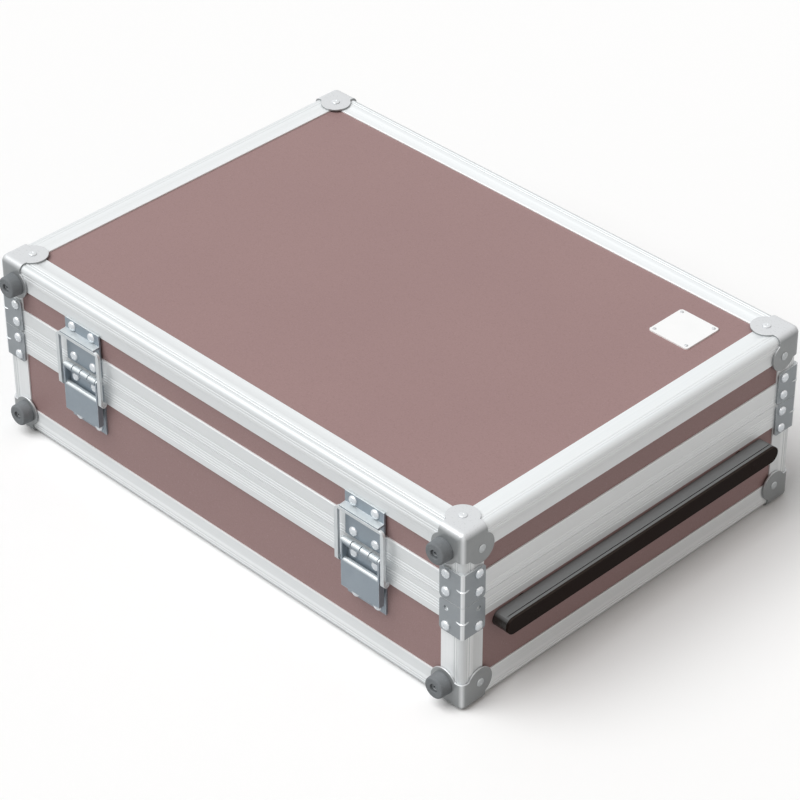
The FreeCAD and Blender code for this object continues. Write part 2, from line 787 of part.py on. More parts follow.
pin_hole = d.pivot_pin + d.pin_play
pivot_pins, hinge_pins = [], []
for name, sign_x in ENDS:
    mid = sign_x * d.latch_from_middle
    x = (mid - d.latch_half, mid + d.latch_half)
    axle = (-half_y - d.pivot_out, parting)
    joint = (-half_y - d.lever_joint_out, parting - d.lever_joint_drop)

    # Strike on the lid: a plate that bridges the lid panel, with a folded ledge for the bail.
    s = d.latch_sheet
    hood_low = top - d.hood_edge - d.hood_lip
    path = [
        (none, strike_low), (s, strike_low), (s, top - d.hood_top - s),
        (d.hood_out, hood_low), (d.hood_out, top - d.hood_edge), (s, top - d.hood_top),
        (s, top - d.leg + d.strike_lap), (none, top - d.leg + d.strike_lap),
    ]
    drilled("strike_" + name, "lid", prism("strike_" + name, "YZ_Plane", [profile(-1, path)], *x))

    # Latch plate on the base with four knuckles inside the lever cheeks, and its pivot pin.
    inner_x = (mid - d.cheek_in + d.bail_gap, mid + d.cheek_in - d.bail_gap)
    plate = low_plate("latch_plate_" + name, -1, x)
    rolled = knuckles("latch_" + name, -1, inner_x, 4, d.knuckle_gap, range(4), -1)
    solid = fused("latch_base_" + name, [plate] + rolled)
    wide = (mid - d.bail_half, mid + d.bail_half)
    bored = cut("latch_bored_" + name, solid, rod("latch_bore_" + name, "X", axle, wide, pin_hole))
    drilled("latch_plate_" + name, "base", bored)
    pin_x = (mid - d.cheek_out, mid + d.cheek_out)
    pivot_pins.append(rod("pivot_pin_" + name, "X", axle, pin_x, d.pivot_pin))

    # Lever: front plate with a rolled upper edge and two cheeks up to the pivot.
    lever_front = -half_y - d.lever_joint_out - d.lever_eye
    lever_back = -half_y - d.pivot_out + d.lever_eye
    lever_z = (top - d.lever_foot, joint[1])
    pieces = [
        block("lever_front_" + name, pin_x, (lever_front, lever_front + d.lever_sheet), lever_z),
        rod("lever_curl_" + name, "X", joint, pin_x, d.lever_eye),
    ]
    for cheek, cheek_x in (
        ("a", (mid - d.cheek_out, mid - d.cheek_in)),
        ("b", (mid + d.cheek_in, mid + d.cheek_out)),
    ):
        tag = f"{name}_{cheek}"
        pieces.append(rod("lever_eye_" + tag, "X", axle, cheek_x, d.lever_eye))
        pieces.append(block("lever_arm_" + tag, cheek_x, (lever_front, lever_back), (joint[1], axle[1])))
        pieces.append(block("lever_cheek_" + tag, cheek_x, (lever_front, lever_back), lever_z))
    lever_holes = together("lever_holes_" + name, [
        rod("lever_pivot_hole_" + name, "X", axle, wide, pin_hole),
        rod("lever_bail_hole_" + name, "X", joint, wide, d.bail_pin + d.pin_play),
    ])
    node("lever_" + name, cut("lever_cut_" + name, fused("lever_body_" + name, pieces), lever_holes))

    # Bail: a flat hoop under the ledge whose eyes hold the pin in the lever's rolled edge.
    hoop_top = hood_low - d.bail_gap
    hoop_in = d.bail_half - d.bail_bar
    bend = d.bail_round
    shoulder = d.bail_half - bend
    hoop = [
        (mid - d.bail_half, joint[1]),
        (mid - d.bail_half, hoop_top - bend, mid - shoulder, hoop_top - bend, bend),
        (mid - shoulder, hoop_top),
        (mid + shoulder, hoop_top, mid + shoulder, hoop_top - bend, bend),
        (mid + d.bail_half, hoop_top - bend), (mid + d.bail_half, joint[1]),
        (mid + hoop_in, joint[1]), (mid + hoop_in, hoop_top - d.bail_top_bar),
        (mid - hoop_in, hoop_top - d.bail_top_bar), (mid - hoop_in, joint[1]),
    ]
    hoop_y = (-half_y - d.hood_out, -half_y - d.bail_near)
    eyes = [
        rod(f"bail_eye_{name}_a", "X", joint, (mid - d.bail_half, mid - hoop_in), d.lever_eye),
        rod(f"bail_eye_{name}_b", "X", joint, (mid + hoop_in, mid + d.bail_half), d.lever_eye),
    ]
    hoop_body = fused("bail_body_" + name, [prism("bail_hoop_" + name, "XZ_Plane", [hoop], *hoop_y)] + eyes)
    bail_hole = rod("bail_hole_" + name, "X", joint, wide, d.bail_pin + d.pin_play)
    node("bail_" + name, cut("bail_cut_" + name, hoop_body, bail_hole))
    pin = rod("bail_rod_" + name, "X", joint, wide, d.bail_pin)
    node("bail_pin_" + name, together("bail_pin_" + name, [pin]))

    # Stop hinge on the back: two leaves, five knuckles, a pin and two wings that meet when open.
    axle = (half_y + d.pivot_out, parting)
    leaf_path = [
        (none, strike_low), (s, strike_low),
        (s, top - d.leg + d.strike_lap), (none, top - d.leg + d.strike_lap),
    ]
    leaf = prism("hinge_leaf_" + name, "YZ_Plane", [profile(1, leaf_path)], *x)
    lid_half = [leaf] + knuckles("hinge_lid_" + name, 1, x, 5, d.hinge_gap, (1, 3), 1)
    low_leaf = low_plate("hinge_low_" + name, 1, x)
    base_half = [low_leaf] + knuckles("hinge_base_" + name, 1, x, 5, d.hinge_gap, (0, 2, 4), -1)
    pitch = (x[1] - x[0] + d.hinge_gap) / 5
    half_stop = d.stop_angle.value / 2
    for pieces, used, tilt in ((lid_half, (1, 3), half_stop), (base_half, (0, 2, 4), -half_stop)):
        turn = FreeCAD.Rotation(FreeCAD.Vector(1, 0, 0), tilt)
        spans = [(x[0] + n * pitch, x[0] + (n + 1) * pitch - d.hinge_gap, d.barrel * 0.8) for n in used]
        spans.append((x[0], x[1], d.stop_root))
        for n, (low, high, start) in enumerate(spans):
            fin = doc.addObject("Part::Box", f"stop_{name}_{n}_{len(used)}")
            bind(fin, "Length", high - low)
            bind(fin, "Width", d.stop_reach - start)
            bind(fin, "Height", d.stop_sheet)
            lift = none if tilt > 0 else -d.stop_sheet
            shift_y = start * math.cos(math.radians(tilt)) - lift * math.sin(math.radians(tilt))
            shift_z = start * math.sin(math.radians(tilt)) + lift * math.cos(math.radians(tilt))
            place(fin, low, axle[0] + shift_y, axle[1] + shift_z, turn)
            pieces.append(fin)
    bore = rod("hinge_bore_" + name, "X", axle, x, pin_hole)
    for half, pieces in (("lid", lid_half), ("base", base_half)):
        solid = fused(f"hinge_{half}_solid_{name}", pieces)
        drilled(f"hinge_{half}_leaf_{name}", half, cut(f"hinge_{half}_bored_{name}", solid, bore))
    hinge_pins.append(rod("hinge_pin_" + name, "X", axle, x, d.pivot_pin))
node("pivot_pins", together("pivot_pin_set", pivot_pins))
node("hinge_pins", together("hinge_pin_set", hinge_pins))

# Bare plate on the lid.
badge_span = (-d.badge_side / 2, d.badge_side / 2)
badge_x = (d.badge_x + badge_span[0], d.badge_x + badge_span[1])
badge_y = (d.badge_y + badge_span[0], d.badge_y + badge_span[1])
badge_low = top - skin
badge = prism("badge", "XY_Plane", [rounded(badge_x, badge_y, d.badge_round)],
              badge_low, badge_low + d.badge_sheet)
drilled("badge_plate", "lid", badge)

# Pull-out handle: a round-ended grip with a cover strip, on two posts that slide in guides.
grip_y = (-d.handle_long / 2, d.handle_long / 2)
grip_z = (handle_z - d.handle_high / 2, handle_z + d.handle_high / 2)
grip_x = (half_x - skin + d.handle_gap, half_x + d.handle_out - d.handle_cover)
oval = rounded(grip_y, grip_z, d.handle_high * 0.499)
grip = prism("grip", "YZ_Plane", [oval], *grip_x)
groove_x = (grip_x[1] - d.handle_groove * 4, grip_x[1] - d.handle_groove * 3)
flute_z = (grip_z[0] - d.handle_high, grip_z[0] + d.handle_groove)
pocket(grip, "XZ_Plane", [
    rectangle(groove_x, (grip_z[1] - d.handle_groove, grip_z[1] + d.handle_high)),
    rectangle(groove_x, flute_z),
])
cover = prism("cover", "YZ_Plane", [oval], grip_x[1], half_x + d.handle_out)
screw_x = (grip_x[1] - d.handle_cover, half_x + d.handle_out)
guide_end = half_x - skin - d.panel - d.handle_travel - d.handle_head_long - d.guide_flange_thick * 2
bore_start = half_x - skin - d.panel
post_root = grip_x[1] - d.handle_cover
head_x = (bore_start - d.handle_travel - d.handle_head_long, bore_start - d.handle_travel)
posts, screws, guides, tunnels = [], [], [], []
for n, sign in enumerate((-1, 1)):
    centre = (sign * handle_y, handle_z)
    post = fused(f"handle_post_{n}", [
        rod(f"post_rod_{n}", "X", centre, (head_x[0], post_root), d.handle_post),
        rod(f"post_head_{n}", "X", centre, head_x, d.handle_head),
    ])
    posts.append(post)
    tunnels.append(rod(f"post_tunnel_{n}", "X", centre, (grip_x[0], post_root), d.handle_post))
    screws.append(rod(f"handle_screw_{n}", "X", centre, screw_x, d.handle_screw))
    outside = half_x - skin
    flange_x = (bore_start - d.guide_flange_thick, bore_start)
    solid = fused(f"guide_solid_{n}", [
        rod(f"guide_tube_{n}", "X", centre, (guide_end, outside), d.guide_outer),
        rod(f"guide_flange_{n}", "X", centre, flange_x, d.guide_flange),
    ])
    hollow = together(f"guide_hollow_{n}", [
        rod(f"guide_bush_{n}", "X", centre, (bore_start, outside), d.handle_post + d.pin_play),
        rod(f"guide_room_{n}", "X", centre, (guide_end + d.guide_flange_thick, bore_start), d.guide_bore),
    ])
    guides.append(cut(f"guide_{n}", solid, hollow))
screw_set = together("handle_screw_set", screws)
grip_cuts = together("grip_cuts", tunnels + screws)
node("handle_grip", cut("grip_cut", grip, grip_cuts))
node("handle_cover", cut("cover_cut", cover, screw_set))
node("handle_screws", together("handle_screws", screws))
node("handle_posts", together("handle_posts", posts))
node("handle_guides", together("handle_guides", guides))

# The frame's origin is under the middle of the whole outline, handle and rivet heads included.
frame_shift = (d.brace_sheet + d.rivet_dome - d.handle_out) / 2
for name, item in NODES.items():
    bind(item, "Placement.Base.x", frame_shift)
doc.recompute()

faulty = [item.Name for item in doc.Objects if "Invalid" in item.State or "Error" in item.State]
if faulty:
    raise RuntimeError(f"features that failed: {faulty}")
os.makedirs("parts", exist_ok=True)
for name, item in NODES.items():
    shape = item.Shape
    if shape.isNull() or not shape.isValid() or not shape.Solids:
        raise RuntimeError(f"{name} has no valid solid")
    shape.exportStep(f"parts/{name}.step")
print(len(NODES), "parts written")
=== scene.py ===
import bmesh
import bpy
import math
from mathutils import Matrix, Vector


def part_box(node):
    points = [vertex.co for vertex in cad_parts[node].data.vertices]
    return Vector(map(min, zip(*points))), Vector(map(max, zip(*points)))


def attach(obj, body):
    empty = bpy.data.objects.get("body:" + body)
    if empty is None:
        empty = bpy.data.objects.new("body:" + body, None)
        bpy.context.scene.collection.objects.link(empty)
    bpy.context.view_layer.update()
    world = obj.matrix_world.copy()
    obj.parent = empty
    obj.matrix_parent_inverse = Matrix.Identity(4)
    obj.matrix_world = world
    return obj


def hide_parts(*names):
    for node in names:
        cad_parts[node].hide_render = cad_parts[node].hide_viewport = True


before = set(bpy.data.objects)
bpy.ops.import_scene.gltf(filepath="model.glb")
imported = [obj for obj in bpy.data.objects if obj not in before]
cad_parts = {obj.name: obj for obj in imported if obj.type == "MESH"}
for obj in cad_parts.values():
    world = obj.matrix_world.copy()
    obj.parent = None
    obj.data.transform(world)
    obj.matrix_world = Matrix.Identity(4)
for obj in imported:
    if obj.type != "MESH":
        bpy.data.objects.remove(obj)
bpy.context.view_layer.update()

# Panels: ten flat boards of thin plywood faced with a mauve-brown laminate that has a fine pepper
# in it and a slightly pebbled, half-matt skin. They are cut square and pushed into the
# channels of the edge sections, so only their faces show.

# Sizes are in millimetres, and MM turns them into the metres of the frame.
MM = 0.001


def tint(red, green, blue):
    """A colour picked on a screen, as the light it gives."""
    def light(c):
        return c / 12.92 if c <= 0.04045 else ((c + 0.055) / 1.055) ** 2.4
    return (light(red / 255), light(green / 255), light(blue / 255), 1.0)


def add(tree, kind, **inputs):
    """A node with its sockets set or wired: _name sets the node itself, i0 is a socket by number."""
    made = tree.nodes.new(kind)
    for name, value in inputs.items():
        if name.startswith("_"):
            setattr(made, name[1:], value)
    for name, value in inputs.items():
        if name.startswith("_"):
            continue
        key = int(name[1:]) if name[1:].isdigit() else name.replace("_", " ")
        socket = made.inputs[key]
        if isinstance(value, bpy.types.NodeSocket):
            tree.links.new(value, socket)
        else:
            socket.default_value = value
    return made


def finish_named(name):
    """A new finish with its node tree and its shader."""
    made = bpy.data.materials.new(name)
    made.use_nodes = True
    tree = made.node_tree
    shader = tree.nodes["Principled BSDF"]
    return made, tree, shader


def mask_group(name, inputs):
    """A shared effect with number inputs, the place it reads and one mask output."""
    made = bpy.data.node_groups.new(name, "ShaderNodeTree")
    made.interface.new_socket("Place", in_out="INPUT", socket_type="NodeSocketVector")
    for label, value in inputs.items():
        socket = made.interface.new_socket(label, in_out="INPUT", socket_type="NodeSocketFloat")
        socket.default_value = value
    made.interface.new_socket("Mask", in_out="OUTPUT", socket_type="NodeSocketFloat")
    return made, made.nodes.new("NodeGroupInput"), made.nodes.new("NodeGroupOutput")


def noise(tree, place, scale, detail):
    """A cloudy mask at that place."""
    return add(tree, "ShaderNodeTexNoise", Vector=place, Scale=scale, Detail=detail).outputs["Fac"]


speckle, got, give = mask_group("speckle", {"Scale": 900.0, "Cover": 0.55, "Soft": 0.12})
grit = noise(speckle, got.outputs["Place"], got.outputs["Scale"], 3.0)
top = add(speckle, "ShaderNodeMath", _operation="ADD", i0=got.outputs["Cover"], i1=got.outputs["Soft"])
spread = add(speckle, "ShaderNodeMapRange", Value=grit, From_Min=got.outputs["Cover"],
             From_Max=top.outputs["Value"])
speckle.links.new(spread.outputs["Result"], give.inputs["Mask"])


def mixed(tree, factor, first, second):
    """Two colours mixed by a mask."""
    made = tree.nodes.new("ShaderNodeMix")
    made.data_type = "RGBA"
    for index, value in ((0, factor), (6, first), (7, second)):
        if isinstance(value, bpy.types.NodeSocket):
            tree.links.new(value, made.inputs[index])
        else:
            made.inputs[index].default_value = value
    return made.outputs[2]


def effect(tree, group, place, **inputs):
    """The mask of a shared effect at that place."""
    made = tree.nodes.new("ShaderNodeGroup")
    made.node_tree = group
    tree.links.new(place, made.inputs["Place"])
    for name, value in inputs.items():
        made.inputs[name].default_value = value
    return made.outputs["Mask"]


def ranged(tree, mask, low, high):
    """A mask stretched between two values."""
    return add(tree, "ShaderNodeMapRange", Value=mask, To_Min=low, To_Max=high).outputs["Result"]


def dress(tree, shader, colour, roughness, relief, strength, depth):
    """A finish's colour, its roughness and a fine relief, wired to its shader."""
    tree.links.new(colour, shader.inputs["Base Color"])
    tree.links.new(roughness, shader.inputs["Roughness"])
    skin = add(tree, "ShaderNodeBump", Height=relief, Strength=strength, Distance=depth)
    tree.links.new(skin.outputs["Normal"], shader.inputs["Normal"])


laminate, tree, shader = finish_named("laminate")
place = add(tree, "ShaderNodeTexCoord").outputs["Object"]
pepper = effect(tree, speckle, place, Scale=1150.0, Cover=0.52, Soft=0.16)
pale_pepper = effect(tree, speckle, place, Scale=820.0, Cover=0.60, Soft=0.10)
cloud = noise(tree, place, 9.0, 3.0)
colour = mixed(tree, ranged(tree, cloud, 0.0, 1.0), tint(154, 126, 125), tint(160, 132, 130))
colour = mixed(tree, ranged(tree, pepper, 0.0, 0.30), colour, tint(128, 104, 102))
colour = mixed(tree, ranged(tree, pale_pepper, 0.0, 0.22), colour, tint(186, 164, 160))
pebble = noise(tree, place, 1500.0, 2.0)
dress(tree, shader, colour, ranged(tree, cloud, 0.40, 0.52), pebble, strength=0.10, depth=0.0002)
shader.inputs["Specular IOR Level"].default_value = 0.20

for node in sorted(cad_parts):
    if "_panel_" in node:
        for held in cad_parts[node].material_slots:
            held.material = laminate

# Edge sections and corner posts: extruded aluminium with a satin anodised skin, a double angle
# with drawn grooves beside its rounded edge and a shallow step before the flat of each leg. Lengths
# are mitred at the corners and riveted; the posts are the same section set upright between them.
HALF_X = 240.0
HALF_Y = 173.0
SHIFT = -4.85
FLOOR = 1.5
TOP = 151.5
ROUND = 4.0
LEG = 20.5
WALL = 1.4
PANEL_BACK = 8.6
CHANNEL_BACK = 9.8
INNER_LEG = 16.0
GROOVE = 0.24
GROOVE_HALF = 0.6
GROOVE_LEAD = 0.3
LEG_GROOVES = (5.0, 7.3)
STEP = 0.2
STEP_FROM = 10.8
STEP_TO = 11.3
LEG_EASE = 0.3
LEG_END = 0.45
# Painted shade on the aluminium, set at each point of the section: full at the grooves' bottoms, most on
# the rounded bend, some on the ribbed zone and the upright flats, none on the level flats.
RIB_SHADE = 0.5
FLAT_SHADE = 0.42
BEND_SHADE = 0.8
BEND_STEPS = 8
SECTION_CREASE = 28
END_SHADE = 0.4


def ribbed(start, stops, flat):
    """Points down a face with grooves at the stops: (along it, in from it, painted shade)."""
    half = GROOVE_HALF
    points = [(start, 0.0, flat), (stops[0] - half - GROOVE_LEAD, 0.0, flat)]
    for stop in stops:
        points += [
            (stop - half, 0.0, 0.0), (stop - half * 0.5, GROOVE, 1.0),
            (stop + half * 0.5, GROOVE, 1.0), (stop + half, 0.0, 0.0),
        ]
    return points


def leg_face(flat):
    """The outer face of one leg from the rounded edge to its free end, its flat given that much painted
    shade.
    """
    face = ribbed(ROUND, LEG_GROOVES, RIB_SHADE)
    step = [(STEP_FROM, 0.0, 0.0), (STEP_TO, STEP, flat)]
    return face + step + [(LEG - LEG_EASE, STEP, flat), (LEG, LEG_END, flat)]


def edge_outline():
    """The double angle's outline: (in from the upright face, in from the level face, painted shade)."""
    level = [(along, deep, dull) for along, deep, dull in reversed(leg_face(0.0))]
    upright = [(deep, along, dull) for along, deep, dull in leg_face(FLAT_SHADE)]
    bend = []
    for step in range(1, BEND_STEPS):
        turn = math.pi / 2 * step / BEND_STEPS
        bend.append((ROUND - ROUND * math.sin(turn), ROUND - ROUND * math.cos(turn), BEND_SHADE))
    inside = [
        (WALL, LEG), (WALL, CHANNEL_BACK), (PANEL_BACK, CHANNEL_BACK), (PANEL_BACK, INNER_LEG),
        (CHANNEL_BACK, INNER_LEG), (CHANNEL_BACK, CHANNEL_BACK), (INNER_LEG, CHANNEL_BACK),
        (INNER_LEG, PANEL_BACK), (CHANNEL_BACK, PANEL_BACK), (CHANNEL_BACK, WALL), (LEG, WALL),
    ]
    return level + bend + upright + [(a, b, 0.0) for a, b in inside]


def ending(inward):
    """How far short of the case corner a point stops, on the mitre or the rounded corner."""
    if inward >= ROUND * (1 - math.sqrt(0.5)):
        return inward
    return ROUND - math.sqrt(ROUND ** 2 - (ROUND - inward) ** 2)


def drawn(outline, where, ends):
    """A length of section: where(point, end) gives a place, u runs along it and v round it."""
    made = bmesh.new()
    lay = made.loops.layers.uv.new("UVMap")
    dullness = made.verts.layers.float.new("dullness")
    rows = [[made.verts.new(where(point, end)) for point in outline] for end in ends]
    for row in rows:
        for corner, point in zip(row, outline):
            corner[dullness] = point[2]
    travel = [0.0]
    for first, second in zip(outline, outline[1:] + outline[:1]):
        travel.append(travel[-1] + math.dist(first[:2], second[:2]))
    count = len(outline)
    for i in range(count):
        j = (i + 1) % count
        face = made.faces.new((rows[0][i], rows[0][j], rows[1][j], rows[1][i]))
        spots = ((0, i, travel[i]), (0, j, travel[i + 1]), (1, j, travel[i + 1]), (1, i, travel[i]))
        for loop, (row, index, v) in zip(face.loops, spots):
            along = rows[row][index].co
            loop[lay].uv = (along.x + along.y + along.z, v * MM)
    made.faces.new(rows[0][::-1])
    made.faces.new(rows[1])
    bmesh.ops.recalc_face_normals(made, faces=made.faces)
    return made


def gathered(name, lengths):
    """Several lengths as one mesh object, smooth across gentle bends and crisp at corners."""
    mesh = bpy.data.meshes.new(name)
    whole = bmesh.new()
    for length in lengths:
        part = bpy.data.meshes.new("length")
        length.to_mesh(part)
        whole.from_mesh(part)
        bpy.data.meshes.remove(part)
        length.free()
    whole.to_mesh(mesh)
    whole.free()
    mesh.shade_smooth()
    mesh.set_sharp_from_angle(angle=math.radians(SECTION_CREASE))
    made = bpy.data.objects.new(name, mesh)
    bpy.context.scene.collection.objects.link(made)
    return made


brushing, got, give = mask_group("brushing", {"Along": 5.0, "Across": 2600.0})
scale = add(brushing, "ShaderNodeCombineXYZ", X=got.outputs["Along"], Y=got.outputs["Across"], Z=1.0)
stretched = add(brushing, "ShaderNodeVectorMath", _operation="MULTIPLY", i0=got.outputs["Place"],
                i1=scale.outputs["Vector"])
streak = noise(brushing, stretched.outputs["Vector"], 1.0, 4.0)
brushing.links.new(streak, give.inputs["Mask"])

edges, got, give = mask_group("edges", {"Width": 0.0009, "Break": 260.0})
rounded = add(edges, "ShaderNodeBevel", _samples=4, Radius=got.outputs["Width"])
true = add(edges, "ShaderNodeNewGeometry")
agree = add(edges, "ShaderNodeVectorMath", _operation="DOT_PRODUCT", i0=rounded.outputs["Normal"],
            i1=true.outputs["Normal"])
lost = add(edges, "ShaderNodeMapRange", Value=agree.outputs["Value"], From_Min=0.99, From_Max=0.80)
chips = noise(edges, got.outputs["Place"], got.outputs["Break"], 3.0)
kept = add(edges, "ShaderNodeMapRange", Value=chips, From_Min=0.35, From_Max=0.62)
worn = add(edges, "ShaderNodeMath", _operation="MULTIPLY", i0=lost.outputs["Result"],
           i1=kept.outputs["Result"])
edges.links.new(worn.outputs["Value"], give.inputs["Mask"])

aluminium, tree, shader = finish_named("satin_aluminium")
place = add(tree, "ShaderNodeTexCoord")
lines = effect(tree, brushing, place.outputs["UV"], Along=4.0, Across=2400.0)
cloud = noise(tree, place.outputs["Object"], 14.0, 4.0)
wear = effect(tree, edges, place.outputs["Object"], Width=0.0006, Break=320.0)
colour = mixed(tree, lines, tint(229, 233, 234), tint(249, 251, 252))
colour = mixed(tree, ranged(tree, cloud, 0.0, 0.20), colour, tint(222, 226, 229))
colour = mixed(tree, ranged(tree, wear, 0.0, 0.55), colour, tint(252, 253, 253))
# Painted shade read from the section's points darkens the grooves, the rounded bend and the upright faces.
shade_mask = add(tree, "ShaderNodeAttribute", _attribute_name="dullness").outputs["Fac"]
colour = mixed(tree, ranged(tree, shade_mask, 0.0, 0.45), colour, tint(172, 178, 180))
dress(tree, shader, colour, ranged(tree, lines, 0.34, 0.50), lines, strength=0.12, depth=0.0001)
shader.inputs["Metallic"].default_value = 0.28
shader.inputs["Specular IOR Level"].default_value = 0.28


def mitred(name, outline, level, into, nodes, body):
    """Four mitred lengths round the case as one piece, those at its ends with less painted shade.

    The section starts at that level and goes up (1) or down (-1) from it.
    """
    lengths = []
    # The lengths on the left and right ends carry less painted shade, so they read lighter.
    ends = [(a, b, dull * END_SHADE) for a, b, dull in outline]
    for sign in (-1, 1):
        def across(point, end, sign=sign):
            a, b, _ = point
            return Vector((SHIFT + end * (HALF_X - ending(a)), sign * (HALF_Y - a), level + into * b)) * MM

        def along(point, end, sign=sign):
            a, b, _ = point
            return Vector((SHIFT + sign * (HALF_X - a), end * (HALF_Y - ending(a)), level + into * b)) * MM

        lengths.append(drawn(outline, across, (-1, 1)))
        lengths.append(drawn(ends, along, (-1, 1)))
    made = gathered(name, lengths)
    made.data.materials.append(aluminium)
    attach(made, body)
    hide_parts(*nodes)


SIDES = ("front", "back", "left", "right")
mitred("lid_edges", edge_outline(), TOP, -1, ["lid_edge_" + side for side in SIDES], "lid")
mitred("base_edges", edge_outline(), FLOOR, 1, ["base_edge_" + side for side in SIDES], "base")


def posts(name, node, body):
    """The four upright lengths of edge section of one half of the case."""
    low, high = (corner.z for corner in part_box(node))
    lengths = []
    for sign_x in (-1, 1):
        for sign_y in (-1, 1):
            def upright(point, end, sx=sign_x, sy=sign_y):
                a, b, _ = point
                return Vector(((SHIFT + sx * (HALF_X - a)) * MM, sy * (HALF_Y - b) * MM, end))
            lengths.append(drawn(edge_outline(), upright, (low, high)))
    made = gathered(name, lengths)
    made.data.materials.append(aluminium)
    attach(made, body)
    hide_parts(node)


posts("lid_posts", "lid_corner_posts", "lid")
posts("base_posts", "base_corner_posts", "base")

# Closing band: two aluminium extrusions that meet at the parting, the base half with a groove and
# the lid half with a tongue that drops into it. Their faces are drawn with a group of fine ribs
# between flats, with painted shade in the grooves and on the flats. Mitred at the corners and held
# by the corner braces.
PARTING = 92.5
BAND = 19.6
BAND_EASE = 0.4
BAND_START = 1.2
LID_GROOVES = (2.6, 5.1, 7.6)
BASE_GROOVES = (5.4, 7.9, 10.4, 12.9)
PLAY = 0.15
GROOVE_WEB = 8.4
TONGUE_NEAR = 3.4
TONGUE_FAR = 6.6
TONGUE_DROP = 6.0
TONGUE_EASE = 0.4


def rim_outline(lid):
    """Half of the band: (in from its face, away from the parting, painted shade)."""
    stops = LID_GROOVES if lid else BASE_GROOVES
    face = [(0.1, PLAY, FLAT_SHADE), (0.0, 0.3, FLAT_SHADE)]
    face += [(deep, along, dull) for along, deep, dull in ribbed(BAND_START, stops, FLAT_SHADE)]
    face += [(0.0, stops[-1] + 0.9, FLAT_SHADE), (0.0, BAND - BAND_EASE, FLAT_SHADE)]
    face += [(BAND_EASE, BAND, FLAT_SHADE)]
    inside = [
        (WALL, BAND), (WALL, CHANNEL_BACK), (PANEL_BACK, CHANNEL_BACK), (PANEL_BACK, INNER_LEG),
        (CHANNEL_BACK, INNER_LEG), (CHANNEL_BACK, PLAY), (PANEL_BACK, PLAY), (PANEL_BACK, GROOVE_WEB),
    ]
    if lid:
        inside += [
            (TONGUE_FAR, GROOVE_WEB), (TONGUE_FAR, TONGUE_EASE - TONGUE_DROP),
            (TONGUE_FAR - TONGUE_EASE, -TONGUE_DROP), (TONGUE_NEAR + TONGUE_EASE, -TONGUE_DROP),
            (TONGUE_NEAR, TONGUE_EASE - TONGUE_DROP), (TONGUE_NEAR, GROOVE_WEB),
        ]
    inside += [(WALL, GROOVE_WEB), (WALL, PLAY)]
    return face + [(a, b, 0.0) for a, b in inside]


mitred("lid_band", rim_outline(True), PARTING, 1, ["lid_rim_" + side for side in SIDES], "lid")
mitred("base_band", rim_outline(False), PARTING, -1, ["base_rim_" + side for side in SIDES], "base")

# Corner caps: eight steel pressings, zinc plated, each a thin sheet drawn over the rounded three-way
# corner and trimmed to a disc on each face. A painted highlight runs down the upright corner, and
# painted light makes the faces that lie level paler. A rivet holds each disc, or on the latch side
# the screw of a foot.
WELD = 0.000002
FLAT_ANGLE = 0.6
EASE_ANGLE = 32
FLAT_WEIGHT = 80


def softened(name, node, body, finish, edge, segments=2):
    """The frame's piece with its faces joined and its edges eased."""
    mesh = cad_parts[node].data.copy()
    mesh.name = name
    mesh.materials.clear()
    whole = bmesh.new()
    whole.from_mesh(mesh)
    bmesh.ops.remove_doubles(whole, verts=whole.verts, dist=WELD)
    flat = math.radians(FLAT_ANGLE)
    bmesh.ops.dissolve_limit(whole, angle_limit=flat, verts=whole.verts, edges=whole.edges)
    bmesh.ops.recalc_face_normals(whole, faces=whole.faces)
    whole.to_mesh(mesh)
    whole.free()
    mesh.shade_smooth()
    rough = bpy.data.objects.new(name + "_rough", mesh)
    bpy.context.scene.collection.objects.link(rough)
    ease = rough.modifiers.new("ease", "BEVEL")
    ease.limit_method = "ANGLE"
    ease.angle_limit = math.radians(EASE_ANGLE)
    ease.width = edge * MM
    ease.segments = segments
    ease.use_clamp_overlap = True
    even = rough.modifiers.new("even", "WEIGHTED_NORMAL")
    even.weight = FLAT_WEIGHT
    even.keep_sharp = False
    ready = rough.evaluated_get(bpy.context.evaluated_depsgraph_get())
    done = bpy.data.meshes.new_from_object(ready)
    bpy.data.objects.remove(rough)
    done.name = name
    done.materials.append(finish)
    made = bpy.data.objects.new(name, done)
    bpy.context.scene.collection.objects.link(made)
    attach(made, body)
    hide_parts(node)


# Painted light from above: a mask that rises with the upward part of the object-space normal, from Low to
# High.
settled, got, give = mask_group("settled", {"Low": 0.25, "High": 0.90})
slope = add(settled, "ShaderNodeSeparateXYZ", Vector=got.outputs["Place"])
upper = add(settled, "ShaderNodeMapRange", Value=slope.outputs["Z"], From_Min=got.outputs["Low"],
            From_Max=got.outputs["High"])
settled.links.new(upper.outputs["Result"], give.inputs["Mask"])


def plated(name, pale, dark, bloom_and_painted_top_light, rough, metal, low=0.25, high=0.90):
    """Zinc plate on steel: a crystal mottle, scuffs, worn edges and painted light on what lies level."""
    made, tree, shader = finish_named(name)
    where = add(tree, "ShaderNodeTexCoord")
    place = where.outputs["Object"]
    crystal = add(tree, "ShaderNodeTexVoronoi", Vector=place, Scale=420.0).outputs["Color"]
    grey = add(tree, "ShaderNodeRGBToBW", Color=crystal).outputs["Val"]
    cloud = noise(tree, place, 60.0, 5.0)
    wear = effect(tree, edges, place, Width=0.0007, Break=420.0)
    level = effect(tree, settled, where.outputs["Normal"], Low=low, High=high)
    scuff = effect(tree, speckle, place, Scale=700.0, Cover=0.58, Soft=0.10)
    colour = mixed(tree, cloud, dark, pale)
    colour = mixed(tree, ranged(tree, grey, 0.0, 0.16), colour, pale)
    # Painted light: the faces that lie level take the paler colour.
    colour = mixed(tree, level, colour, bloom_and_painted_top_light)
    colour = mixed(tree, ranged(tree, scuff, 0.0, 0.18), colour, dark)
    colour = mixed(tree, ranged(tree, wear, 0.0, 0.6), colour, tint(236, 238, 238))
    roughness = ranged(tree, cloud, rough - 0.06, rough + 0.08)
    dress(tree, shader, colour, roughness, scuff, strength=0.05, depth=0.0001)
    shader.inputs["Metallic"].default_value = metal
    return made


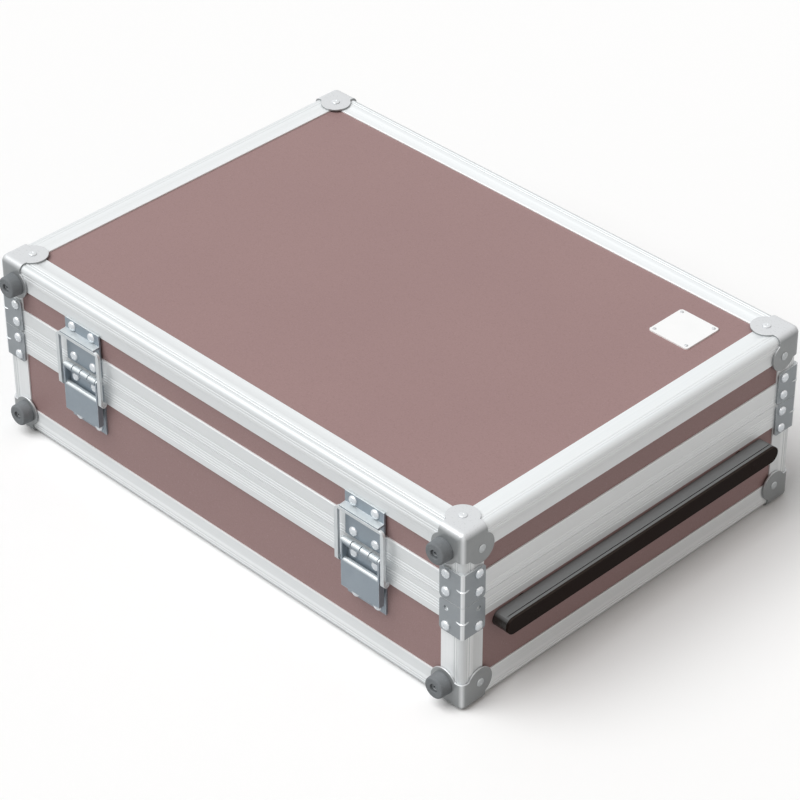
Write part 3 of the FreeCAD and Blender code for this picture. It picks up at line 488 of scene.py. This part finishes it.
cap_plate = plated("cap_zinc", tint(158, 161, 162), tint(138, 142, 144), tint(219, 221, 223),
                   rough=0.34, metal=0.30)
# A painted highlight along the case's upright corners: full within Bright of both faces, none beyond Dull.
folds, got, give = mask_group("folds", {"Bright": 0.0002, "Dull": 0.0009})
spot = add(folds, "ShaderNodeSeparateXYZ", Vector=got.outputs["Place"])
middle = add(folds, "ShaderNodeMath", _operation="SUBTRACT", i0=spot.outputs["X"], i1=SHIFT * MM)
wide = add(folds, "ShaderNodeMath", _operation="ABSOLUTE", i0=middle.outputs["Value"])
deep = add(folds, "ShaderNodeMath", _operation="ABSOLUTE", i0=spot.outputs["Y"])
from_end = add(folds, "ShaderNodeMath", _operation="SUBTRACT", i0=HALF_X * MM, i1=wide.outputs["Value"])
from_front = add(folds, "ShaderNodeMath", _operation="SUBTRACT", i0=HALF_Y * MM, i1=deep.outputs["Value"])
from_fold = add(folds, "ShaderNodeMath", _operation="MAXIMUM", i0=from_end.outputs["Value"],
                i1=from_front.outputs["Value"])
rubbing_and_fold_highlight = add(folds, "ShaderNodeMapRange", Value=from_fold.outputs["Value"], From_Min=got.outputs["Dull"],
             From_Max=got.outputs["Bright"])
folds.links.new(rubbing_and_fold_highlight.outputs["Result"], give.inputs["Mask"])


def paint_fold_highlight(finish, bright, dull, amount):
    """A painted highlight on the upright corners, within those distances of both faces."""
    tree = finish.node_tree
    shader = tree.nodes["Principled BSDF"]
    place = add(tree, "ShaderNodeTexCoord").outputs["Object"]
    rubbing_and_fold_highlight = effect(tree, folds, place, Bright=bright * MM, Dull=dull * MM)
    plain = shader.inputs["Base Color"].links[0].from_socket
    colour = mixed(tree, ranged(tree, rubbing_and_fold_highlight, 0.0, amount), plain, tint(240, 243, 245))
    tree.links.new(colour, shader.inputs["Base Color"])


paint_fold_highlight(cap_plate, bright=0.3, dull=2.2, amount=0.75)
softened("lid_caps", "lid_corner_caps", "lid", cap_plate, edge=0.35)
softened("base_caps", "base_corner_caps", "base", cap_plate, edge=0.35)

# Corner braces: bent steel angles on the corners either side of the parting, zinc plated, with a
# painted highlight along the fold. A dart pressed across the fold stiffens each; rivets hold both wings.
brace_plate = plated("brace_zinc", tint(155, 161, 165), tint(134, 140, 145), tint(214, 218, 220),
                     rough=0.40, metal=0.40)
paint_fold_highlight(brace_plate, bright=0.2, dull=0.9, amount=0.85)
softened("lid_braces", "lid_corner_braces", "lid", brace_plate, edge=0.3)
softened("base_braces", "base_corner_braces", "base", brace_plate, edge=0.3)

# Rivets and foot screws: bright steel rivets with a low domed head and a set mark in the middle,
# closed through the plates and braces; smaller ones hold the caps, and flush ones underneath. The
# screws in the feet have a flat head with a round socket.
RIVET = 3.8
CAP_RIVET = 3.2
FOOT_SCREW = 3.0
LOW_RIVET = 2.0
RADIUS_SLACK = 0.25
HEAD_CREASE = 35
bright = plated("bright_steel", tint(226, 231, 235), tint(198, 205, 211), tint(250, 251, 252),
                rough=0.26, metal=0.50)


def solids(node):
    """The lowest and highest corner of each separate solid of a node."""
    whole = bmesh.new()
    whole.from_mesh(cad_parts[node].data)
    bmesh.ops.remove_doubles(whole, verts=whole.verts, dist=WELD)
    left = set(whole.verts)
    found = []
    while left:
        reached = [left.pop()]
        group = []
        while reached:
            here = reached.pop()
            group.append(here.co.copy())
            for line in here.link_edges:
                other = line.other_vert(here)
                if other in left:
                    left.remove(other)
                    reached.append(other)
        low = Vector([min(point[i] for point in group) for i in range(3)])
        high = Vector([max(point[i] for point in group) for i in range(3)])
        found.append((low, high))
    whole.free()
    return sorted(found, key=lambda pair: tuple(pair[0]))


def seats(node, radius):
    """Where the heads of that radius end, and which way each faces: outward from the case."""
    found = []
    for low, high in solids(node):
        size = (high - low) / MM
        odd = max(range(3), key=lambda i: min(abs(size[i] - size[j]) for j in range(3) if j != i))
        if abs(max(size[i] for i in range(3) if i != odd) - 2 * radius) > RADIUS_SLACK:
            continue
        middle = (low + high) / 2
        centre = Vector((SHIFT, 0.0, PARTING)) * MM
        sign = 1.0 if middle[odd] > centre[odd] else -1.0
        facing = Vector([sign if i == odd else 0.0 for i in range(3)])
        middle[odd] = high[odd] if sign > 0 else low[odd]
        found.append((middle, facing))
    return found


def turned(name, profile, steps=32):
    """A head turned about its axis from (radius, height) points in millimetres, its top at zero."""
    mesh = bpy.data.meshes.new(name)
    whole = bmesh.new()
    rings = []
    for radius, height in profile:
        if radius == 0.0:
            rings.append([whole.verts.new((0.0, 0.0, height * MM))])
            continue
        ring = []
        for step in range(steps):
            angle = 2 * math.pi * step / steps
            across, along = radius * MM * math.cos(angle), radius * MM * math.sin(angle)
            ring.append(whole.verts.new((across, along, height * MM)))
        rings.append(ring)
    for first, second in zip(rings, rings[1:]):
        for i in range(steps):
            j = (i + 1) % steps
            corners = [
                first[i % len(first)], second[i % len(second)],
                second[j % len(second)], first[j % len(first)],
            ]
            kept = list(dict.fromkeys(corners))
            if len(kept) > 2:
                whole.faces.new(kept)
    bmesh.ops.recalc_face_normals(whole, faces=whole.faces)
    whole.to_mesh(mesh)
    whole.free()
    mesh.shade_smooth()
    mesh.set_sharp_from_angle(angle=math.radians(HEAD_CREASE))
    return bpy.data.objects.new(name, mesh)


def domed(radius, dome, mark):
    """The profile of a rivet head: a set mark, a low dome, a short rim and a stub below."""
    points = [(0.0, -mark), (radius * 0.16, -mark * 0.8), (radius * 0.24, -0.02)]
    for step in range(1, 8):
        angle = math.radians(14 + 70 * step / 7)
        points.append((radius * math.sin(angle), -(dome - 0.35) * (1 - math.cos(angle))))
    stub = radius * 0.5
    rim = [(radius, -dome + 0.3), (radius, -dome)]
    return points + rim + [(stub, -dome), (stub, -dome - 1.0), (0.0, -dome - 1.0)]


set_heads = bpy.data.node_groups.new("set_heads", "GeometryNodeTree")
for label, kind in (("Places", "Geometry"), ("Head", "Object"), ("Finish", "Material"), ("Seed", "Int")):
    set_heads.interface.new_socket(label, in_out="INPUT", socket_type="NodeSocket" + kind)
set_heads.interface.new_socket("Heads", in_out="OUTPUT", socket_type="NodeSocketGeometry")
got = set_heads.nodes.new("NodeGroupInput")
give = set_heads.nodes.new("NodeGroupOutput")
spots = add(set_heads, "GeometryNodeMeshToPoints", Mesh=got.outputs["Places"])
facing = add(set_heads, "GeometryNodeInputNamedAttribute", _data_type="FLOAT_VECTOR", Name="facing")
faced = add(set_heads, "FunctionNodeAlignRotationToVector", _axis="Z", Vector=facing.outputs["Attribute"])
spin = add(set_heads, "FunctionNodeRandomValue", _data_type="FLOAT", i2=0.0, i3=2 * math.pi,
           Seed=got.outputs["Seed"])
about = add(set_heads, "FunctionNodeAxisAngleToRotation", Axis=(0.0, 0.0, 1.0), Angle=spin.outputs[1])
spun = add(set_heads, "FunctionNodeRotateRotation", _rotation_space="LOCAL",
           Rotation=faced.outputs["Rotation"], Rotate_By=about.outputs["Rotation"])
head = add(set_heads, "GeometryNodeObjectInfo", Object=got.outputs["Head"])
head.inputs["As Instance"].default_value = True
placed = add(set_heads, "GeometryNodeInstanceOnPoints", Points=spots.outputs["Points"],
             Instance=head.outputs["Geometry"], Rotation=spun.outputs["Rotation"])
real = add(set_heads, "GeometryNodeRealizeInstances", Geometry=placed.outputs["Instances"])
coated = add(set_heads, "GeometryNodeSetMaterial", Geometry=real.outputs["Geometry"],
             Material=got.outputs["Finish"])
set_heads.links.new(coated.outputs["Geometry"], give.inputs["Heads"])


def heads(name, node, body, radius, head, finish, seed):
    """Every head of that radius of a node, set in place as one piece."""
    found = seats(node, radius)
    mesh = bpy.data.meshes.new(name)
    mesh.from_pydata([middle for middle, _ in found], [], [])
    facing = mesh.attributes.new("facing", "FLOAT_VECTOR", "POINT")
    for index, (_, way) in enumerate(found):
        facing.data[index].vector = way
    rough = bpy.data.objects.new(name + "_places", mesh)
    bpy.context.scene.collection.objects.link(rough)
    nodes = rough.modifiers.new("set", "NODES")
    nodes.node_group = set_heads
    values = {"Head": head, "Finish": finish, "Seed": seed}
    for item in set_heads.interface.items_tree:
        if item.in_out == "INPUT" and item.name in values:
            nodes[item.identifier] = values[item.name]
    ready = rough.evaluated_get(bpy.context.evaluated_depsgraph_get())
    done = bpy.data.meshes.new_from_object(ready)
    bpy.data.objects.remove(rough)
    done.name = name
    made = bpy.data.objects.new(name, done)
    bpy.context.scene.collection.objects.link(made)
    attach(made, body)
    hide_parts(node)


dull_steel = plated("dull_steel", tint(132, 136, 139), tint(104, 108, 112), tint(170, 174, 176),
                    rough=0.48, metal=0.40)
cap_bright = plated("cap_rivet_steel", tint(196, 200, 202), tint(172, 177, 180), tint(226, 229, 231),
                    rough=0.30, metal=0.40)
rivet = turned("rivet", domed(RIVET, dome=2.2, mark=0.35))
cap_rivet = turned("cap_rivet", domed(CAP_RIVET, dome=1.1, mark=0.30))
foot_screw = turned("foot_screw", [
    (0.0, -1.5), (1.25, -1.4), (1.35, -0.12), (1.5, 0.0), (2.7, 0.0), (2.92, -0.1),
    (FOOT_SCREW, -0.35), (FOOT_SCREW, -2.4), (1.8, -2.4), (1.8, -3.0), (0.0, -3.0),
], steps=24)
low_rivet = turned("low_rivet", [
    (0.0, 0.0), (1.8, 0.0), (LOW_RIVET, -0.1), (LOW_RIVET, -3.0), (0.0, -3.0),
])
for half in ("lid", "base"):
    node = half + "_fasteners"
    heads(half + "_rivets", node, half, RIVET, rivet, bright, seed=3)
    heads(half + "_cap_rivets", node, half, CAP_RIVET, cap_rivet, cap_bright, seed=5)
    heads(half + "_foot_screws", node, half, FOOT_SCREW, foot_screw, dull_steel, seed=7)
heads("floor_rivets", "base_fasteners", "base", LOW_RIVET, low_rivet, bright, seed=9)

# Feet: moulded grey rubber bumpers on the latch side, slightly tapered, with a rounded rim and a
# bore that takes a screw.
rubber, tree, shader = finish_named("grey_rubber")
place = add(tree, "ShaderNodeTexCoord").outputs["Object"]
cloud = noise(tree, place, 120.0, 5.0)
bloom_and_painted_top_light = effect(tree, speckle, place, Scale=900.0, Cover=0.56, Soft=0.14)
colour = mixed(tree, cloud, tint(108, 112, 115), tint(130, 134, 137))
colour = mixed(tree, ranged(tree, bloom_and_painted_top_light, 0.0, 0.25), colour, tint(150, 152, 153))
dress(tree, shader, colour, ranged(tree, cloud, 0.62, 0.80), bloom_and_painted_top_light, strength=0.12, depth=0.0002)
shader.inputs["Specular IOR Level"].default_value = 0.25
softened("lid_bumpers", "lid_feet", "lid", rubber, edge=0.4)
softened("base_bumpers", "base_feet", "base", rubber, edge=0.4)

# Latches: two draw latches in zinc plated sheet steel: a plate with a rolled knuckle riveted to the
# base, a strike with a folded ledge on the lid, a lever with folded cheeks and a rolled upper
# edge, and a wire bail, brighter than the sheet, that turns on a pin in the roll.
# This finish's wide range paints light on every face tilted even a little upward, so the lever's rolled
# edge shows as a broad pale band.
latch_plate = plated("latch_zinc", tint(152, 163, 172), tint(130, 142, 152), tint(210, 216, 218),
                     rough=0.36, metal=0.40, low=0.06, high=0.50)
bail_wire = plated("bail_zinc", tint(214, 219, 221), tint(190, 197, 200), tint(236, 239, 240),
                   rough=0.32, metal=0.40)
for end in ("left", "right"):
    softened("latch_base_" + end, "latch_plate_" + end, "base", latch_plate, edge=0.25)
    softened("latch_strike_" + end, "strike_" + end, "lid", latch_plate, edge=0.25)
    softened("latch_lever_" + end, "lever_" + end, "lever_" + end, latch_plate, edge=0.3)
    softened("latch_bail_" + end, "bail_" + end, "bail_" + end, bail_wire, edge=0.8, segments=3)
    softened("latch_bail_pin_" + end, "bail_pin_" + end, "bail_" + end, bail_wire, edge=0.3)
softened("latch_pins", "pivot_pins", "base", bail_wire, edge=0.3)

# Hinges: two stop hinges on the back in the same zinc plated sheet: two leaves with rolled knuckles,
# a pin, and folded wings that meet and hold the lid when it is open.
for end in ("left", "right"):
    softened("hinge_upper_" + end, "hinge_lid_leaf_" + end, "lid", latch_plate, edge=0.25)
    softened("hinge_lower_" + end, "hinge_base_leaf_" + end, "base", latch_plate, edge=0.25)
softened("hinge_rods", "hinge_pins", "base", bail_wire, edge=0.3)

# Plate on the lid: a small square of aluminium sheet stove-enamelled white, bare, with rounded
# corners and a little rivet in each.
PLATE_RIVET = 1.3
enamel, tree, shader = finish_named("white_enamel")
place = add(tree, "ShaderNodeTexCoord").outputs["Object"]
cloud = noise(tree, place, 90.0, 4.0)
wear = effect(tree, edges, place, Width=0.0005, Break=500.0)
colour = mixed(tree, cloud, tint(246, 247, 247), tint(252, 252, 252))
colour = mixed(tree, ranged(tree, wear, 0.0, 0.5), colour, tint(206, 208, 209))
peel = noise(tree, place, 700.0, 1.0)
dress(tree, shader, colour, ranged(tree, cloud, 0.26, 0.36), peel, strength=0.06, depth=0.0002)
softened("lid_plate", "badge_plate", "lid", enamel, edge=0.25, segments=3)
plate_rivet = turned("plate_rivet", domed(PLATE_RIVET, dome=0.8, mark=0.15), steps=20)
plate_bright = plated("plate_rivet_steel", tint(196, 198, 200), tint(172, 175, 178), tint(202, 204, 206),
                      rough=0.34, metal=0.40)
heads("lid_plate_rivets", "lid_fasteners", "lid", PLATE_RIVET, plate_rivet, plate_bright, seed=11)

# Handle: a long glossy bar of black moulded plastic with a painted reflection that makes its upper face
# paler, with a dull cover strip on its front, fixed by two recessed screws to steel posts that slide in
# guides behind the panel.


def moulding(name, dark, pale, worn, bloom_and_painted_top_light, rough, shine):
    """Moulded plastic: a fine spark-eroded grain, paler rubbed edges and painted light and reflection on
    its upper face.
    """
    made, tree, shader = finish_named(name)
    where = add(tree, "ShaderNodeTexCoord")
    place = where.outputs["Object"]
    cloud = noise(tree, place, 30.0, 5.0)
    rubbing_and_fold_highlight = effect(tree, speckle, place, Scale=1400.0, Cover=0.57, Soft=0.12)
    wear = effect(tree, edges, place, Width=0.0006, Break=300.0)
    level = effect(tree, settled, where.outputs["Normal"], Low=0.55, High=0.95)
    # Painted light and reflection: the upper faces take the paler colour.
    colour = mixed(tree, level, mixed(tree, cloud, dark, pale), bloom_and_painted_top_light)
    colour = mixed(tree, ranged(tree, rubbing_and_fold_highlight, 0.0, 0.20), colour, worn)
    colour = mixed(tree, ranged(tree, wear, 0.0, 0.45), colour, worn)
    roughness = ranged(tree, cloud, rough - 0.05, rough + 0.07)
    dress(tree, shader, colour, roughness, rubbing_and_fold_highlight, strength=0.10, depth=0.0002)
    shader.inputs["Specular IOR Level"].default_value = shine
    return made


moulded = moulding("black_moulding", tint(22, 14, 11), tint(32, 22, 18), tint(56, 44, 38),
                   tint(56, 48, 44), rough=0.62, shine=0.06)
grip = moulding("glossy_moulding", tint(44, 41, 39), tint(56, 53, 51), tint(116, 117, 118),
                tint(134, 136, 137), rough=0.22, shine=0.5)
softened("handle_strip", "handle_cover", "handle", moulded, edge=0.3)
softened("handle_bar", "handle_grip", "handle", grip, edge=0.4)
softened("handle_fixings", "handle_screws", "handle", moulded, edge=0.3)
softened("handle_rods", "handle_posts", "handle", latch_plate, edge=0.3)
softened("handle_sleeves", "handle_guides", "base", moulded, edge=0.3)

# Linings: soft charcoal foam with a brushed face, cut to the inside of the base and the lid and glued
# in; its edges pull in a little and its face is not quite flat.
PAD_ACROSS = 96
PAD_ALONG = 70
PAD_RIM = 3.6
PAD_WAVE = 0.18
PAD_CREASE = 50
foam, tree, shader = finish_named("charcoal_foam")
place = add(tree, "ShaderNodeTexCoord").outputs["Object"]
cloud = noise(tree, place, 25.0, 5.0)
pores = effect(tree, speckle, place, Scale=1300.0, Cover=0.46, Soft=0.20)
colour = mixed(tree, cloud, tint(66, 66, 69), tint(82, 82, 85))
colour = mixed(tree, ranged(tree, pores, 0.0, 0.5), colour, tint(44, 44, 47))
dress(tree, shader, colour, ranged(tree, cloud, 0.88, 0.97), pores, strength=0.35, depth=0.0004)
shader.inputs["Specular IOR Level"].default_value = 0.1


def pad(name, node, body, facing_up):
    """A slab of foam over the box of a node, its free face eased at the rim and slightly wavy."""
    low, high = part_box(node)
    across, along = PAD_ACROSS, PAD_ALONG
    rim = PAD_RIM * MM
    whole = bmesh.new()
    rows = {"free": [], "glued": []}
    for i in range(across + 1):
        for kind in rows:
            rows[kind].append([])
        for j in range(along + 1):
            x = low.x + (high.x - low.x) * 0.5 * (1 - math.cos(math.pi * i / across))
            y = low.y + (high.y - low.y) * 0.5 * (1 - math.cos(math.pi * j / along))
            near = min(x - low.x, high.x - x, y - low.y, high.y - y)
            drop = 0.0
            if near < rim:
                drop = rim - math.sqrt(max(0.0, rim ** 2 - (rim - near) ** 2))
            ripple = math.sin(31 * x + 3 * math.sin(17 * y)) * math.sin(37 * y + 2 * math.sin(23 * x))
            wave = PAD_WAVE * MM * (1 + ripple)
            free = high.z - drop - wave if facing_up else low.z + drop + wave
            glued = low.z if facing_up else high.z
            rows["free"][i].append(whole.verts.new((x, y, free)))
            rows["glued"][i].append(whole.verts.new((x, y, glued)))
    for i in range(across):
        for j in range(along):
            for kind in rows:
                grid = rows[kind]
                whole.faces.new((grid[i][j], grid[i + 1][j], grid[i + 1][j + 1], grid[i][j + 1]))
    outline = [(i, 0) for i in range(across)] + [(across, j) for j in range(along)]
    outline += [(i, along) for i in range(across, 0, -1)] + [(0, j) for j in range(along, 0, -1)]
    free, glued = rows["free"], rows["glued"]
    for (i, j), (m, n) in zip(outline, outline[1:] + outline[:1]):
        whole.faces.new((free[i][j], free[m][n], glued[m][n], glued[i][j]))
    bmesh.ops.recalc_face_normals(whole, faces=whole.faces)
    mesh = bpy.data.meshes.new(name)
    whole.to_mesh(mesh)
    whole.free()
    mesh.shade_smooth()
    mesh.set_sharp_from_angle(angle=math.radians(PAD_CREASE))
    mesh.materials.append(foam)
    made = bpy.data.objects.new(name, mesh)
    bpy.context.scene.collection.objects.link(made)
    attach(made, body)
    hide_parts(node)


pad("base_pad", "base_lining", "base", True)
pad("lid_pad", "lid_lining", "lid", False)

# Floor, light and camera: a pale studio floor, one broad soft lamp from above and the front left, a
# weak warm one from the right and a fill that is cool on the left and warm on the right. The floor
# and the fill are brighter to the eye than in the light they throw on the case.
FLOOR_HALF = 30
FLOOR_THROWN = (0.44, 0.44, 0.44, 1.0)
FLOOR_SEEN = (0.975, 0.975, 0.975, 1.0)
FILL_COOL = (0.94, 0.98, 1.0, 1.0)
FILL_WARM = (1.0, 0.93, 0.87, 1.0)
FILL_SEEN = (0.98, 0.985, 0.99, 1.0)
floor_mesh = bpy.data.meshes.new("floor")
corners = [(FLOOR_HALF * a, FLOOR_HALF * b, 0) for a, b in ((-1, -1), (1, -1), (1, 1), (-1, 1))]
floor_mesh.from_pydata(corners, [], [(0, 1, 2, 3)])
floor = bpy.data.objects.new("floor", floor_mesh)
bpy.context.scene.collection.objects.link(floor)
white, tree, shader = finish_named("studio_floor")


def seen_rays(tree):
    """True for the rays that show the background: straight, mirrored or through glass."""
    path = add(tree, "ShaderNodeLightPath")
    plain = add(tree, "ShaderNodeMath", _operation="MAXIMUM", i0=path.outputs["Is Camera Ray"],
                i1=path.outputs["Is Glossy Ray"])
    either = add(tree, "ShaderNodeMath", _operation="MAXIMUM", i0=plain.outputs["Value"],
                 i1=path.outputs["Is Transmission Ray"])
    return either.outputs["Value"]


colour = mixed(tree, seen_rays(tree), FLOOR_THROWN, FLOOR_SEEN)
tree.links.new(colour, shader.inputs["Base Color"])
shader.inputs["Roughness"].default_value = 0.9
shader.inputs["Specular IOR Level"].default_value = 0.0
floor_mesh.materials.append(white)

world = bpy.data.worlds.new("studio")
bpy.context.scene.world = world
world.use_nodes = True
tree = world.node_tree
fill = tree.nodes["Background"]
seen = seen_rays(tree)
toward = add(tree, "ShaderNodeSeparateXYZ", Vector=add(tree, "ShaderNodeTexCoord").outputs["Generated"])
warmth = add(tree, "ShaderNodeMapRange", Value=toward.outputs["X"], From_Min=-0.3, From_Max=0.8)
colour = mixed(tree, warmth.outputs["Result"], FILL_COOL, FILL_WARM)
tree.links.new(mixed(tree, seen, colour, FILL_SEEN), fill.inputs["Color"])
tree.links.new(ranged(tree, seen, 0.36, 1.0), fill.inputs["Strength"])


def lamp(name, energy, spread, toward, colour=(1.0, 1.0, 1.0)):
    """A soft distant lamp that shines from that direction."""
    light = bpy.data.lights.new(name, "SUN")
    light.energy = energy
    light.angle = math.radians(spread)
    light.color = colour
    made = bpy.data.objects.new(name, light)
    made.rotation_mode = "QUATERNION"
    made.rotation_quaternion = Vector(toward).to_track_quat("Z", "Y")
    bpy.context.scene.collection.objects.link(made)


lamp("soft_key", energy=2.4, spread=50, toward=(-0.24, -0.47, 0.85))
lamp("warm_side", energy=0.14, spread=60, toward=(0.90, -0.10, 0.42), colour=(1.0, 0.82, 0.72))

AIM = Vector((24.55, -22.7, 79.5)) * MM
AWAY = 2324.6
turn, tip, roll = math.radians(45.298), math.radians(35.876), math.radians(-0.210)
view = bpy.data.cameras.new("camera")
view.sensor_width = 36.0
view.lens = 142.17
view.clip_end = 100.0
camera = bpy.data.objects.new("camera", view)
back = Vector((math.sin(turn) * math.cos(tip), -math.cos(turn) * math.cos(tip), math.sin(tip)))
right = Vector((math.cos(turn), math.sin(turn), 0.0))
up = back.cross(right)
level = math.cos(roll) * right + math.sin(roll) * up
upright = math.cos(roll) * up - math.sin(roll) * right
camera.matrix_world = Matrix((level, upright, back)).transposed().to_4x4()
camera.location = AIM + back * AWAY * MM
bpy.context.scene.collection.objects.link(camera)
bpy.context.scene.camera = camera
bpy.context.scene.view_settings.view_transform = "Standard"
